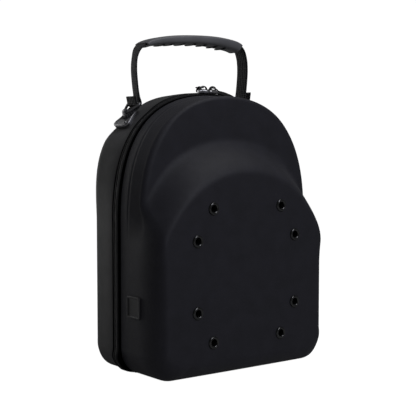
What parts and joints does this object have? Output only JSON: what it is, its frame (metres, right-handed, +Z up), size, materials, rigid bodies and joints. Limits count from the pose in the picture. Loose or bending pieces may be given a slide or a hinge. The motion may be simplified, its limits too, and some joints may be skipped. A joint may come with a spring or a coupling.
{
  "type": "cap carrier",
  "caption": "Moulded clamshell case for caps: arched hollow shells closed by a zip, a deep crown bulge with vent eyelets, webbing handle with ribbed grip.",
  "frame": {"origin": "on the surface the case stands on, under the middle of its whole box", "axes": "+X to the right seen from the front, -Y out of the front with the bulge, +Z up through the handle"},
  "size_m": [0.2388, 0.1294, 0.368],
  "materials": {
    "shell_cloth": "fine black ballistic cloth over moulded foam",
    "eyelet_enamel": "gloss black",
    "zip_tape": "smooth woven tape",
    "zip_coil": "black coil",
    "webbing": "ribbed webbing",
    "grip_rubber": "satin",
    "gunmetal": "polished gunmetal",
    "pull_rubber": "satin",
    "patch_rubber": "satin"
  },
  "bodies": {
    "root": {"back_shell": "shell_cloth", "front_shell": "shell_cloth", "eyelet_1": "eyelet_enamel", "eyelet_2": "eyelet_enamel", "eyelet_3": "eyelet_enamel", "eyelet_4": "eyelet_enamel", "eyelet_5": "eyelet_enamel", "eyelet_6": "eyelet_enamel", "eyelet_7": "eyelet_enamel", "eyelet_8": "eyelet_enamel", "zip_tape_front": "zip_tape", "zip_tape_back": "zip_tape", "zip_chain": "zip_coil", "hinge_strip": "zip_tape", "handle_strap": "webbing", "handle_grip": "grip_rubber", "strap_ring_left": "gunmetal", "anchor_left": "gunmetal", "strap_ring_right": "gunmetal", "anchor_right": "gunmetal", "zip_slider_left": "gunmetal", "pull_link_left": "gunmetal", "pull_tab_left": "pull_rubber", "zip_slider_right": "gunmetal", "pull_link_right": "gunmetal", "pull_tab_right": "pull_rubber", "side_patch": "patch_rubber"}
  },
  "joints": []
}
